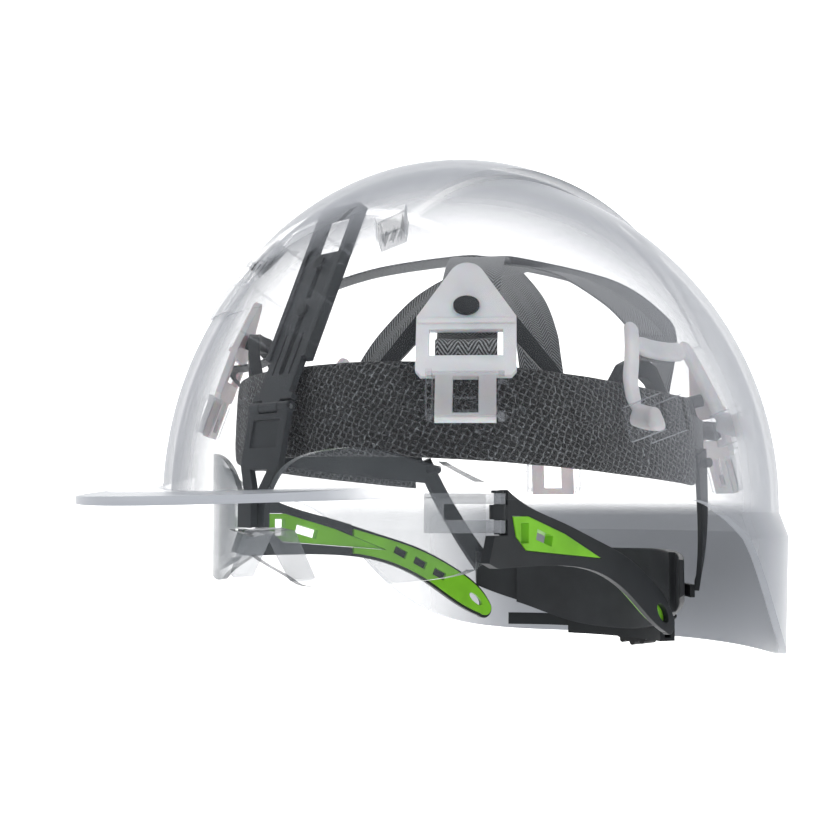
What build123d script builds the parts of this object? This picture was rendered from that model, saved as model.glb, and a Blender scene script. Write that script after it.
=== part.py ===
"""Forestry safety helmet with an inner suspension, a size ratchet and spectacles on a slide.

Frame: +X is the wearer's left, -Y is the front (peak), +Z is up.
The origin is the middle of the head seat, level with the rim above the ears.
"""
import math
import os

from build123d import *

os.makedirs("parts", exist_ok=True)

# ---------------------------------------------------------------- driving sizes
half_width = 108.5          # shell, outside, at the rim
front_reach = 114.0         # shell, outside, origin to forehead wall
rear_reach = 138.0          # shell, outside, origin to back wall
dome_height = 125.0         # shell, outside, rim to crown
crest_rise = 4.4            # the raised middle band above the plain dome
crest_half_width = 40.0
shell_wall = 3.0
guard_depth = 62.0          # the neck guard hangs this far below the rim
peak_centre_y = -55.0
peak_half_width = 92.0
peak_reach = 95.5

band_half_width = 79.0      # knitted cover, outside
band_front = 81.8           # cover, outside, origin to brow
band_rear = 102.0           # carrier, outside, origin to back of head
band_middle_y = 10.0
band_middle_z = 23.6
band_height = 30.0
band_slope = 4.0            # degrees, the band sits lower at the back
cover_thickness = 3.4
carrier_wall = 1.8
squareness = 2.5            # 2 is an ellipse, more is squarer

hanger_wall = 2.4
hanger_half_width = 16.0

strap_width = 20.0
strap_thickness = 1.0

rail_lean = 23.3            # degrees from upright, top towards the head
holder_lean = 10.6
fold_y = -91.4
fold_z = 32.3
rail_half_width = 10.8

lens_centre_y = -25.5
lens_radius = 73.1
lens_wall = 2.2
temple_hinge = (67.0, -51.0)
temple_inward = 9.05        # degrees, the arms close in towards their tips
temple_wall = 3.4

pad_centre_y = 30.0         # centre of the arc that the nape pad follows
pad_radius = 66.0           # outside of the pad
pad_thickness = 4.5
pad_flap_thickness = 2.0    # the ends are thin, so the spectacle arms pass inside them
pad_cushion_angle = 42.0    # degrees each way from the back that keep the full thickness
pad_angle = 58.0
knob_z = -44.0
knob_radius = 17.0
pinion_radius = 5.0
strap_radius = 70.0         # middle of the toothed straps
tooth_count = 8

crossing_y = 14.0           # where the crown straps cross

finished = {}


def keep(part, name):
    """Labels a finished piece and writes it as its own file."""
    part.label = name
    export_step(part, "parts/" + name + ".step")
    finished[name] = part


def leaning_plane(point, azimuth, lean):
    """A plane whose normal points out from the head at this azimuth (0 = front, 90 = wearer's left)."""
    a = math.radians(azimuth)
    e = math.radians(lean)
    out = (math.sin(a) * math.cos(e), -math.cos(a) * math.cos(e), math.sin(e))
    return Plane(origin=point, x_dir=(math.cos(a), math.sin(a), 0), z_dir=out)


def mirrored(part):
    """The same piece on the wearer's other side."""
    return mirror(part, about=Plane.YZ)


# ---------------------------------------------------------------- shell
def dome(width, front, rear, height, flare, bottom):
    """A solid dome, half an ellipsoid above the rim and a flared skirt below it."""
    with BuildPart() as whole:
        with BuildSketch(Plane.XZ):
            with BuildLine():
                EllipticalCenterArc((0, 0), width, height, start_angle=0, arc_size=90)
                Polyline(
                    (0, height),
                    (0, bottom),
                    (width + flare - 1.5, bottom),
                    (width + flare, -13),
                    (width, -4),
                    (width, 0),
                )
            make_face()
        revolve(axis=Axis.Z)
    with BuildPart() as front_half:
        add(whole.part)
        split(bisect_by=Plane.XZ, keep=Keep.TOP)
        scale(by=(1, front / width, 1))
    with BuildPart() as rear_half:
        add(whole.part)
        split(bisect_by=Plane.XZ, keep=Keep.BOTTOM)
        scale(by=(1, rear / width, 1))
    return front_half.part + rear_half.part


def crest_band(width):
    """The tall block that the raised middle band fills."""
    return Pos(0, 12, 105) * Box(2 * width, 216, 80)


outer_dome = dome(half_width, front_reach, rear_reach, dome_height, 3.0, -guard_depth)
inner_dome = dome(
    half_width - shell_wall,
    front_reach - shell_wall,
    rear_reach - shell_wall,
    dome_height - shell_wall,
    3.0,
    -guard_depth - 2,
)
outer_crest = dome(half_width, front_reach, rear_reach, dome_height + crest_rise, 3.0, -guard_depth)
inner_crest = dome(
    half_width - shell_wall,
    front_reach - shell_wall,
    rear_reach - shell_wall,
    dome_height + crest_rise - shell_wall,
    3.0,
    -guard_depth - 2,
)
outer_solid = outer_dome + (outer_crest & crest_band(crest_half_width))
inner_solid = inner_dome + (inner_crest & crest_band(crest_half_width - shell_wall))

# the rim in side view: level to the ears, then down to the neck guard
with BuildPart() as below_rim:
    with BuildSketch(Plane.YZ):
        with BuildLine():
            Line((-200, 0), (0, 0))
            Spline((0, 0), (29, -14), (59, -43), (82, -55.5), (107, -60), (150, -guard_depth + 1))
            Polyline((150, -guard_depth + 1), (200, -guard_depth + 1), (200, -140), (-200, -140), (-200, 0))
        make_face()
    extrude(amount=150, both=True)

# the peak: a thin tongue that falls gently from the dome and droops at its sides
with BuildPart() as peak:
    with BuildSketch(Plane.XY.offset(-3)):
        with Locations((0, peak_centre_y)):
            Ellipse(peak_half_width, peak_reach)
    extrude(amount=30)
    with BuildSketch(Plane.YZ) as profile:
        with BuildLine():
            Spline((-155, 0.6), (-130, 1.6), (-100, 4.2), (-40, 11))
            Line((-40, 11), (-40, 60))
            Line((-40, 60), (-155, 60))
            Line((-155, 60), (-155, 0.6))
        make_face()
    extrude(amount=150, both=True, mode=Mode.SUBTRACT)
    with BuildSketch(Plane.YZ):
        with BuildLine():
            Spline((-156, -2.6), (-130, -1.0), (-100, 0.2), (-40, 1))
            Line((-40, 1), (-40, -20))
            Line((-40, -20), (-156, -20))
            Line((-156, -20), (-156, -2.6))
        make_face()
    extrude(amount=150, both=True, mode=Mode.SUBTRACT)


# ---------------------------------------------------------------- suspension planes
front_plane = leaning_plane((56.3, -53.8, 76.3), 43, 19.7)
rear_plane = leaning_plane((38.9, 96.0, 57.4), 145, 14)
fork_plane = leaning_plane((76.5, 21.0, 53.0), 93, 16)
pin_drop = 16.2             # lug pin below the hanger's tip
tab_middle = -47.7
rail_plane = Plane(
    origin=(0, fold_y, fold_z),
    x_dir=(1, 0, 0),
    z_dir=(0, -math.cos(math.radians(rail_lean)), math.sin(math.radians(rail_lean))),
)


def hanger_socket(plane):
    """Two cheeks, a back wall and a catch nose, moulded on the inside of the shell."""
    with BuildPart() as socket:
        with BuildSketch(plane.offset(-0.5)):
            with Locations((-11.2, tab_middle - 1), (11.2, tab_middle - 1)):
                Rectangle(2.0, 13)
        extrude(amount=45)
        with BuildSketch(plane.offset(hanger_wall + 0.4)):
            with Locations((0, tab_middle)):
                Rectangle(24.4, 15)
        extrude(amount=2)
        with BuildSketch(plane.offset(0.8)):
            with Locations((0, tab_middle - 2.6)):
                Rectangle(6.6, 4.4)
        extrude(amount=4)
    return socket.part


def foot_socket(plane, x):
    """Two cheeks that hold one foot of a side fork."""
    with BuildPart() as socket:
        with BuildSketch(plane.offset(2)):
            with Locations((x - 5.6, -30), (x + 5.6, -30)):
                Rectangle(1.8, 12)
        extrude(amount=45)
    return socket.part


with BuildPart() as rail_cheeks:
    with BuildSketch(rail_plane.offset(-2.4)):
        with Locations((-12.1, 30), (12.1, 30), (-12.1, 66), (12.1, 66)):
            Rectangle(2.2, 16)
    extrude(amount=40)

# vents: a slanted window on each side of the crest and a row of slits across the front
vent_plane = leaning_plane((35.2, -68.1, 90.5), 30, 44)
vent_corners = [(-3.1, -8.4), (-5.4, 1.8), (3.5, 9.4), (5.2, -2.7)]
slit_places = [4.6, 10.4, 16.4, 22.6, 29.0]
with BuildPart() as vent_cutter:
    with BuildSketch(vent_plane.offset(-14)):
        Polygon(*vent_corners, align=None)
    extrude(amount=28)
with BuildPart() as slit_cutter:
    with BuildSketch(Plane.XZ.offset(66)):
        for x in slit_places:
            with Locations((x, 80.5), (-x, 80.5)):
                SlotCenterToCenter(5.5, 2.2, rotation=90)
    extrude(amount=40)

shell_part = (outer_solid - inner_solid) - below_rim.part
shell_part = shell_part + (peak.part - outer_dome)
for piece in (hanger_socket(front_plane), hanger_socket(rear_plane)):
    for side in (piece, mirrored(piece)):
        shell_part = shell_part + (side & (outer_dome - Pos(0, 0, -70) * Box(400, 400, 100)))
for x in (-27, 27):
    piece = foot_socket(fork_plane, x)
    for side in (piece, mirrored(piece)):
        shell_part = shell_part + (side & outer_dome)
shell_part = shell_part + (rail_cheeks.part & outer_solid)
shell_part = shell_part - vent_cutter.part - mirrored(vent_cutter.part) - slit_cutter.part
keep(shell_part, "shell")

# a louvred insert fills each slanted vent
with BuildPart() as vent_grille:
    with BuildSketch(vent_plane.offset(-4.5)):
        Polygon(*[(x * 0.93, y * 0.93) for x, y in vent_corners], align=None)
        Polygon(*[(x * 0.72, y * 0.72) for x, y in vent_corners], align=None, mode=Mode.SUBTRACT)
    extrude(amount=5.5)
    with BuildSketch(vent_plane.offset(-4.0)):
        with Locations((-2.4, -0.6), (0, 0.4), (2.4, 1.6)):
            Rectangle(0.9, 12.5)
    extrude(amount=1.6)
    with BuildSketch(vent_plane):
        Polygon(*[(x * 0.93, y * 0.93) for x, y in vent_corners], align=None)
    extrude(amount=12, both=True, mode=Mode.INTERSECT)
grille_part = vent_grille.part
keep(grille_part, "vent_grille_left")
keep(mirrored(grille_part), "vent_grille_right")


# ---------------------------------------------------------------- hangers and forks
def hanger(plane):
    """A frosted plate: keyhole lug at the top, strap window, and a snap tab at the foot."""
    with BuildPart() as plate:
        with BuildSketch(plane) as face:
            with BuildLine():
                ThreePointArc((-5, -2.6), (0, 0), (5, -2.6))
                Polyline(
                    (5, -2.6),
                    (hanger_half_width, -19.8),
                    (hanger_half_width, -38.6),
                    (14.4, -40.6),
                    (-14.4, -40.6),
                    (-hanger_half_width, -38.6),
                    (-hanger_half_width, -19.8),
                    (-5, -2.6),
                )
            make_face()
            with Locations((0, tab_middle - 0.2)):
                Rectangle(19.2, 16)
            with Locations((0, -29.0)):
                Rectangle(23.4, 9.2, mode=Mode.SUBTRACT)
            with Locations((0, -pin_drop)):
                Circle(2.7, mode=Mode.SUBTRACT)
            with Locations((0, -47.2)):
                Rectangle(8.1, 12.3, mode=Mode.SUBTRACT)
        extrude(amount=hanger_wall)
        with BuildSketch(plane.offset(hanger_wall)):
            with Locations((0, -21.6)):
                Rectangle(2 * hanger_half_width - 1, 1.6)
        extrude(amount=0.9)
    return plate.part


hanger_front = hanger(front_plane)
hanger_rear = hanger(rear_plane)
keep(hanger_front, "front_hanger_left")
keep(mirrored(hanger_front), "front_hanger_right")
keep(hanger_rear, "rear_hanger_left")
keep(mirrored(hanger_rear), "rear_hanger_right")

with BuildPart() as fork:
    with BuildSketch(fork_plane):
        Rectangle(33, 8.4)
        with Locations((-14.5, 6)):
            Rectangle(4, 5)
        for side in (-1, 1):
            Polygon(
                (side * 16.5, 2),
                (side * 27.5, -12),
                (side * 29.5, -32),
                (side * 24.5, -32),
                (side * 22.5, -14),
                (side * 10.5, -4.2),
                align=None,
            )
    extrude(amount=3)
    with BuildSketch(fork_plane):
        with Locations((-27, -30), (27, -30)):
            Rectangle(8.6, 9)
    extrude(amount=11)
keep(fork.part, "side_fork_left")
keep(mirrored(fork.part), "side_fork_right")


# ---------------------------------------------------------------- head band
band_plane = Plane(
    origin=(0, band_middle_y, band_middle_z),
    x_dir=(1, 0, 0),
    z_dir=(0, math.sin(math.radians(band_slope)), math.cos(math.radians(band_slope))),
)


def band_face(inset, height):
    """The rounded-square outline of the head, seen from above, at this height on the band."""
    points = []
    for step in range(24):
        angle = 2 * math.pi * step / 24
        c = math.cos(angle)
        s = math.sin(angle)
        reach = band_rear - band_middle_y if s > 0 else band_front + band_middle_y
        x = (band_half_width - inset) * math.copysign(abs(c) ** (2 / squareness), c)
        y = (reach - inset) * math.copysign(abs(s) ** (2 / squareness), s)
        points.append((x, y))
    with BuildSketch(band_plane.offset(height)) as outline:
        with BuildLine():
            Spline(*points, periodic=True)
        make_face()
    return outline.sketch


def band_wall(outside, inside, low, high):
    """An upright wall that follows the band between two insets and two heights."""
    with BuildPart() as wall:
        add(band_face(outside, low))
        extrude(amount=high - low)
        add(band_face(inside, low))
        extrude(amount=high - low, mode=Mode.SUBTRACT)
    return wall.part


with BuildPart() as behind_ears:
    with BuildSketch(Plane.YZ):
        Polygon((31, 60), (56, -12), (200, -12), (200, 60), align=None)
    extrude(amount=150, both=True)
cover = band_wall(0, cover_thickness, -band_height / 2, band_height / 2) - behind_ears.part
keep(cover, "headband_cover")


def arch_cutter(azimuth, shift, half_span, foot, apex):
    """A block shaped like an arch strip that reaches out from the head's middle."""
    a = math.radians(azimuth)
    plane = Plane(
        origin=(0, band_middle_y, 0),
        x_dir=(math.cos(a), math.sin(a), 0),
        z_dir=(math.sin(a), -math.cos(a), 0),
    )
    strip = 6.0
    with BuildPart() as block:
        with BuildSketch(plane.offset(40)):
            for half, top in ((half_span, apex), (half_span - strip, apex - strip)):
                Polygon(
                    (shift - half, foot - (0.1 if half == half_span else 20)),
                    (shift - half, foot + 2),
                    (shift - half * 0.45, top - 2),
                    (shift - half * 0.22, top),
                    (shift + half * 0.22, top),
                    (shift + half * 0.45, top - 2),
                    (shift + half, foot + 2),
                    (shift + half, foot - (0.1 if half == half_span else 20)),
                    align=None,
                    mode=Mode.ADD if half == half_span else Mode.SUBTRACT,
                )
        extrude(amount=80)
    return block.part


carrier_out = cover_thickness + 0.3
carrier_in = carrier_out + carrier_wall
arch_wall = band_wall(carrier_out, carrier_in + 2.0, -13, 48)
front_ring = band_wall(carrier_out, carrier_in, -13, 13) - behind_ears.part
rear_ring = band_wall(carrier_out, carrier_in, 0, 11) & behind_ears.part


def hanger_clearance(plane):
    """The space that a hanger fills, with a running gap on its inner face."""
    with BuildPart() as space:
        with BuildSketch(plane.offset(-0.4)):
            with Locations((0, -28)):
                Rectangle(36, 60)
        extrude(amount=14)
    return space.part


carrier = front_ring + rear_ring
arches = (
    (43, -2.3, 33, 38, 63.5, front_plane),
    (145, 17.5, 26, 24, 42.5, rear_plane),
    (93, 0, 21, 30, 49, fork_plane),
)
for azimuth, shift, half_span, foot, apex, plane in arches:
    strip = (arch_cutter(azimuth, shift, half_span, foot, apex) & arch_wall) - hanger_clearance(plane)
    carrier = carrier + strip + mirrored(strip)
keep(carrier, "headband_carrier")

with BuildPart() as lug_pins:
    for plane, back in ((front_plane, -3.6), (rear_plane, -10.5)):
        with BuildSketch(plane.offset(back)):
            with Locations((0, -pin_drop)):
                Circle(2.6)
        extrude(amount=hanger_wall + 0.2 - back)
        with BuildSketch(plane.offset(hanger_wall + 0.1)):
            with Locations((0, -pin_drop)):
                Ellipse(4.2, 3.2)
        extrude(amount=1.4)
pins = lug_pins.part + mirrored(lug_pins.part)
keep(pins - carrier, "lug_pins")


# ---------------------------------------------------------------- crown straps
def strap_run(plane, anchor, middle, hook, start_y, top):
    """Half a webbing strap: from the crossing, down to the hanger or fork that holds its end."""
    end = plane.from_local_coords((0, anchor, 0))
    direction = math.atan2(end.Y - start_y, end.X)
    upright = Plane(
        origin=(0, start_y, top),
        x_dir=(math.cos(direction), math.sin(direction), 0),
        z_dir=(math.sin(direction), -math.cos(direction), 0),
    )
    down = []
    for drop, depth in hook:
        spot = plane.from_local_coords((0, drop, depth))
        down.append((math.hypot(spot.X, spot.Y - start_y), spot.Z - top))
    turn = (down[3][0] - down[1][0], down[3][1] - down[1][1])
    with BuildPart() as strap:
        with BuildSketch(upright):
            with BuildLine():
                Line((-4, 0), (13, 0))
                Spline((13, 0), *middle, down[0], down[1], down[2], tangents=((1, 0), turn))
                Spline(*down[2:], tangents=(turn, (down[-1][0] - down[-2][0], down[-1][1] - down[-2][1])))
            trace(line_width=strap_thickness)
        extrude(amount=strap_width / 2, both=True)
    return strap.part


def hanger_hook(sink):
    """Down inside the arch and round a roll that fills the window: drop below the tip, then depth."""
    inside = [(-13, -sink), (-20.5, 1.2 - sink), (-25.6, -2.8)]
    roll = [(-27.2, 0.4), (-29.2, 1.3), (-31.2, 0.4), (-32.4, -1.8)]
    return inside + roll


front_path = ((47, -6), (72, -17))
rear_path = ((50, -6.5), (71, -18), (78, -29))
side_path = ((38, -7), (60, -20))
fork_hook = [(9, -2.6), (6, -2.0), (3, -1.8), (0, -1.8), (-3.4, -1.8)]


def diagonal_half(plane, path, sink, top):
    return strap_run(plane, -29, path, hanger_hook(sink), crossing_y, top)


left_top = 92.7
right_top = 94.3
strap_left = diagonal_half(front_plane, front_path, 10.6, left_top)
strap_left = strap_left + mirrored(diagonal_half(rear_plane, rear_path, 18.8, left_top))
strap_right = mirrored(diagonal_half(front_plane, front_path, 10.6, right_top))
strap_right = strap_right + diagonal_half(rear_plane, rear_path, 18.8, right_top)
keep(strap_left, "strap_front_left")
keep(strap_right, "strap_front_right")
strap_over = strap_run(fork_plane, -0.4, side_path, fork_hook, 21.0, 91.1)
keep(strap_over + mirrored(strap_over), "strap_side")

# ---------------------------------------------------------------- nape arms, pad and ratchet
with BuildPart() as nape_wall:
    for inset, radius, mode in ((1.0, 70.0, Mode.ADD), (3.0, 68.0, Mode.SUBTRACT)):
        with BuildSketch(band_plane) as upper:
            add(band_face(inset, 0))
        with BuildSketch(Plane.XY.offset(-44)) as lower:
            with Locations((0, pad_centre_y)):
                Circle(radius)
        loft(mode=mode)
with BuildPart() as arm_profile:
    with BuildSketch(Plane.YZ):
        with BuildLine():
            Spline((50, 18), (56, 4), (66, -17), (74, -33))
        trace(line_width=7)
    extrude(amount=120)
nape_arm = nape_wall.part & arm_profile.part
keep(nape_arm, "nape_arm_left")
keep(mirrored(nape_arm), "nape_arm_right")


def arc_wall(inner, outer, low, high, start, stop):
    """Part of an upright ring about the nape arc. Angles are from the back, + to the wearer's left."""
    with BuildPart() as wall:
        with BuildSketch(Plane.XY.offset(low)):
            with BuildLine():
                for radius, first, last in ((outer, start, stop), (inner, stop, start)):
                    middle = (first + last) / 2
                    spots = []
                    for angle in (first, middle, last):
                        a = math.radians(angle)
                        spots.append((radius * math.sin(a), pad_centre_y + radius * math.cos(a)))
                    ThreePointArc(*spots)
                for angle, near, far in ((stop, outer, inner), (start, inner, outer)):
                    a = math.radians(angle)
                    Line(
                        (near * math.sin(a), pad_centre_y + near * math.cos(a)),
                        (far * math.sin(a), pad_centre_y + far * math.cos(a)),
                    )
            make_face()
        extrude(amount=high - low)
    return wall.part


with BuildPart() as pad_outline:
    with BuildSketch(Plane.XZ.offset(-60)):
        with BuildLine():
            Spline(
                (-60, -31),
                (-52, -39),
                (-38.8, -45.5),
                (-22.6, -51.7),
                (0, -54),
                (22.6, -51.7),
                (38.8, -45.5),
                (52, -39),
                (60, -31),
            )
            Line((60, -31), (60, -24))
            Spline((60, -24), (44, -20.6), (0, -20), (-44, -20.6), (-60, -24))
            Line((-60, -24), (-60, -31))
        make_face()
    extrude(amount=-60)
pad_low = -56.0
pad_high = -18.0
cushion = arc_wall(
    pad_radius - pad_thickness, pad_radius, pad_low, pad_high, -pad_cushion_angle, pad_cushion_angle
)
flaps = arc_wall(pad_radius - pad_flap_thickness, pad_radius, pad_low, pad_high, -pad_angle, pad_angle)
pad_wall = cushion + flaps
keep(pad_wall & pad_outline.part, "nape_pad")
keep(arc_wall(66.4, 68.6, -58, -30, -22, 22), "ratchet_plate")
housing = arc_wall(71.4, 73.4, -58, -30, -22, 22)
housing = housing + arc_wall(68.7, 71.5, -31.4, -30, -22, 22) + arc_wall(68.7, 71.5, -58, -56.6, -22, 22)
with BuildPart() as spindle_hole:
    with BuildSketch(Plane.XZ.offset(-95)):
        with Locations((0, knob_z)):
            Circle(2.56)
    extrude(amount=-20)
keep(housing - spindle_hole.part, "ratchet_housing")

pitch_angle = 360 / tooth_count * pinion_radius / strap_radius


def toothed_strap(body_low, body_high, tooth_low, tooth_high):
    """A curved band with rack teeth near its inner end, reaching round to the wearer's left."""
    band = arc_wall(69.0, 71.0, body_low, body_high, -13, 45)
    for k in range(-3, 6):
        middle = (k + 0.5) * pitch_angle
        band = band + arc_wall(69.0, 71.0, tooth_low, tooth_high, middle - 0.45, middle + 0.45)
    return band


keep(toothed_strap(-38.0, -33.0, -40.2, -37.8), "toothed_strap_left")
keep(mirrored(toothed_strap(-55.0, -50.0, -50.2, -47.8)), "toothed_strap_right")

with BuildPart() as pinion:
    with BuildSketch(Plane.XZ.offset(-99.0)):
        with Locations((0, knob_z)):
            Circle(3.6)
            with PolarLocations(4.4, tooth_count, start_angle=90):
                Rectangle(2.8, 1.15)
    extrude(amount=-1.9)
    with BuildSketch(Plane.XZ.offset(-100.9)):
        with Locations((0, knob_z)):
            Circle(2.5)
    extrude(amount=-4.0)
keep(pinion.part, "pinion")

with BuildPart() as knob:
    with BuildSketch(Plane.XZ.offset(-104.9)):
        with Locations((0, knob_z)):
            Circle(knob_radius)
            with PolarLocations(knob_radius, 20):
                Circle(1.4)
    extrude(amount=-9)
    fillet(knob.faces().sort_by(Axis.Y)[-1].edges(), 0.6)
keep(knob.part, "adjuster_knob")

with BuildPart() as studs:
    with BuildSketch(Plane.YZ.offset(66)):
        with Locations((51.5, 14.0)):
            Circle(1.8)
    extrude(amount=11.5)
keep((studs.part + mirrored(studs.part)) - nape_arm - mirrored(nape_arm) - carrier, "height_studs")

# ---------------------------------------------------------------- spectacle slide
with BuildPart() as rail:
    with BuildSketch(rail_plane.offset(-3.4)):
        with Locations((-9.7, 47.5), (9.7, 47.5)):
            Rectangle(2.2, 61)
        with Locations((0, 76.6)):
            Rectangle(2 * rail_half_width, 2.8)
    extrude(amount=4.2)
    with BuildSketch(rail_plane.offset(-3.4)):
        with Locations((-8.2, 47.5), (8.2, 47.5)):
            Rectangle(1.4, 61)
        with Locations((0, 54.9), (0, 35.8)):
            Rectangle(19, 5)
    extrude(amount=0.7)
keep(rail.part, "guide_rail")

with BuildPart() as guide_pins:
    for height in (54.9, 35.8):
        with BuildSketch(rail_plane.offset(-2.7)):
            with Locations((0, height)):
                Circle(1.3)
        extrude(amount=3.2)
        with BuildSketch(rail_plane.offset(0.4)):
            with Locations((0, height)):
                Circle(2.5)
        extrude(amount=1.0)
keep(guide_pins.part, "guide_pins")

hinge_drop = -1.0
hinge_depth = -1.2
hinge_centre = rail_plane.from_local_coords((0, hinge_drop, hinge_depth))
with BuildPart() as slider_arm:
    with BuildSketch(rail_plane.offset(-2.4)):
        outline = [(10.8, 1.4), (10.8, 3.4), (8.4, 4.2), (8.4, 58.9)]
        Polygon(*outline, *[(-x, z) for x, z in reversed(outline)], align=None)
        with Locations((0, 48.5)):
            SlotOverall(16.0, 2.9, rotation=90, mode=Mode.SUBTRACT)
        with Locations((0, 23.9)):
            SlotOverall(26.4, 2.9, rotation=90, mode=Mode.SUBTRACT)
        with Locations((-4.6, 19), (4.6, 19)):
            Rectangle(0.9, 16, mode=Mode.SUBTRACT)
        with Locations((0, 0.4)):
            Rectangle(9.8, 2.2)
    extrude(amount=2.4)
    with BuildSketch(Plane(hinge_centre + Vector(-4.9, 0, 0), z_dir=(1, 0, 0))):
        Circle(1.9)
    extrude(amount=9.8)
    with BuildSketch(Plane(hinge_centre + Vector(-6, 0, 0), z_dir=(1, 0, 0))):
        Circle(0.85)
    extrude(amount=12, mode=Mode.SUBTRACT)
keep(slider_arm.part, "slider_arm")

with BuildPart() as fold_pin:
    with BuildSketch(Plane(hinge_centre + Vector(-10.6, 0, 0), z_dir=(1, 0, 0))):
        Circle(0.8)
    extrude(amount=21.2)
keep(fold_pin.part, "fold_pin")

holder_plane = Plane(
    origin=hinge_centre,
    x_dir=(1, 0, 0),
    z_dir=(0, -math.cos(math.radians(holder_lean)), math.sin(math.radians(holder_lean))),
)
with BuildPart() as lens_space:
    with BuildSketch(Plane.XY.offset(-40)):
        with Locations((0, lens_centre_y)):
            Circle(lens_radius + 0.2)
            Circle(lens_radius - lens_wall - 0.2, mode=Mode.SUBTRACT)
    extrude(amount=38.8)
with BuildPart() as lens_holder:
    with BuildSketch(holder_plane.offset(-1.2)):
        Polygon((-10.8, -2.3), (10.8, -2.3), (10.6, -20), (4.0, -34), (-4.0, -34), (-10.6, -20), align=None)
        Polygon((-5, -21.5), (5, -21.5), (0, -31), align=None, mode=Mode.SUBTRACT)
        with Locations((-8.0, -1.2), (8.0, -1.2)):
            Rectangle(5.4, 2.6)
    extrude(amount=2.4)
    for start in (-10.7, 5.3):
        with BuildSketch(Plane(hinge_centre + Vector(start, 0, 0), z_dir=(1, 0, 0))):
            Circle(1.9)
        extrude(amount=5.4)
    with BuildSketch(holder_plane.offset(0.4)):
        with Locations((0, -9.3)):
            Rectangle(14.8, 9.6)
    extrude(amount=2, mode=Mode.SUBTRACT)
    with BuildSketch(Plane(hinge_centre + Vector(-12, 0, 0), z_dir=(1, 0, 0))):
        Circle(0.85)
    extrude(amount=24, mode=Mode.SUBTRACT)
    with BuildSketch(Plane.XY.offset(-9.2)):
        with Locations((0, -97.6)):
            Rectangle(7.4, 7.6)
    extrude(amount=9.8)
keep(lens_holder.part - lens_space.part, "lens_holder")

# ---------------------------------------------------------------- spectacles
with BuildPart() as lens:
    with BuildSketch(Plane.XY.offset(-40)):
        with Locations((0, lens_centre_y)):
            Circle(lens_radius)
            Circle(lens_radius - lens_wall, mode=Mode.SUBTRACT)
    extrude(amount=70)
    with BuildSketch(Plane.XZ.offset(45)):
        for side in (-1, 1):
            with BuildLine():
                Spline(
                    (0, -2.2),
                    (side * 3.5, -1.6),
                    (side * 11.5, 7.4),
                    (side * 20, 13.4),
                    (side * 34, 16.2),
                    (side * 47, 14.9),
                    (side * 59.5, 10.6),
                    (side * 64.9, 5.6),
                    tangents=((side, 0), (side, -1)),
                )
                Line((side * 64.9, 5.6), (side * 64.9, -16))
                Spline(
                    (side * 64.9, -16),
                    (side * 63, -22.6),
                    (side * 58, -24.8),
                    (side * 40, -26.6),
                    (side * 20, -26.9),
                    (side * 15.2, -24.4),
                    (side * 5, -11.4),
                    (0, -9.9),
                    tangents=((0, -1), (-side, 0)),
                )
                Line((0, -9.9), (0, -2.2))
            make_face()
    extrude(amount=60, mode=Mode.INTERSECT)
    with BuildSketch(Plane.XY.offset(-12)):
        with Locations(temple_hinge, (-temple_hinge[0], temple_hinge[1])):
            Circle(3.0)
    extrude(amount=16, mode=Mode.SUBTRACT)
keep(lens.part, "lens")

with BuildPart() as nose_bridge:
    with BuildSketch(Plane.XZ.offset(86)):
        for side in (-1, 1):
            Polygon(
                (0, -10.6),
                (side * 5.2, -12.2),
                (side * 15.8, -26.6),
                (side * 18.6, -25.6),
                (side * 7.6, -10.4),
                (0, -9.4),
                align=None,
            )
    extrude(amount=12)
with BuildPart() as inside_lens:
    with BuildSketch(Plane.XY.offset(-40)):
        with Locations((0, lens_centre_y)):
            Circle(lens_radius - lens_wall - 0.2)
    extrude(amount=70)
keep((nose_bridge.part & inside_lens.part) - lens_holder.part, "nose_bridge")

hinge_x, hinge_y = temple_hinge


def lens_point(radius, azimuth):
    """A point on the lens curve in plan."""
    a = math.radians(azimuth)
    return (radius * math.sin(a), lens_centre_y - radius * math.cos(a))


def lug_bar(low, high):
    """A clear bar inside the lens edge that ends in a hinge barrel."""
    with BuildPart() as bar:
        with BuildSketch(Plane.XY.offset(low)):
            with BuildLine():
                ThreePointArc(lens_point(70.7, 50), lens_point(70.7, 57), lens_point(70.7, 64))
                Line(lens_point(70.7, 64), lens_point(68.2, 65))
                ThreePointArc(lens_point(68.2, 65), lens_point(68.2, 57), lens_point(68.2, 50))
                Line(lens_point(68.2, 50), lens_point(70.7, 50))
            make_face()
            Polygon(
                lens_point(70.7, 63.6),
                lens_point(68.2, 64.6),
                (hinge_x - 2.2, hinge_y + 0.6),
                (hinge_x + 0.4, hinge_y - 2.2),
                align=None,
            )
            with Locations((0, lens_centre_y)):
                Circle(lens_radius - lens_wall - 0.2, mode=Mode.INTERSECT)
            with Locations(temple_hinge):
                Circle(2.6)
                Circle(1.15, mode=Mode.SUBTRACT)
        extrude(amount=high - low)
    return bar.part


with BuildPart() as lug_web:
    with BuildSketch(Plane.XY.offset(-10.6)):
        with BuildLine():
            ThreePointArc(lens_point(70.7, 50), lens_point(70.7, 52.5), lens_point(70.7, 55))
            Line(lens_point(70.7, 55), lens_point(69.2, 55))
            ThreePointArc(lens_point(69.2, 55), lens_point(69.2, 52.5), lens_point(69.2, 50))
            Line(lens_point(69.2, 50), lens_point(70.7, 50))
        make_face()
    extrude(amount=12.6)
lug = lug_bar(-1.4, 2.0) + lug_bar(-10.6, -6.5) + lug_web.part
keep(lug, "hinge_lug_left")
keep(mirrored(lug), "hinge_lug_right")

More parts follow.
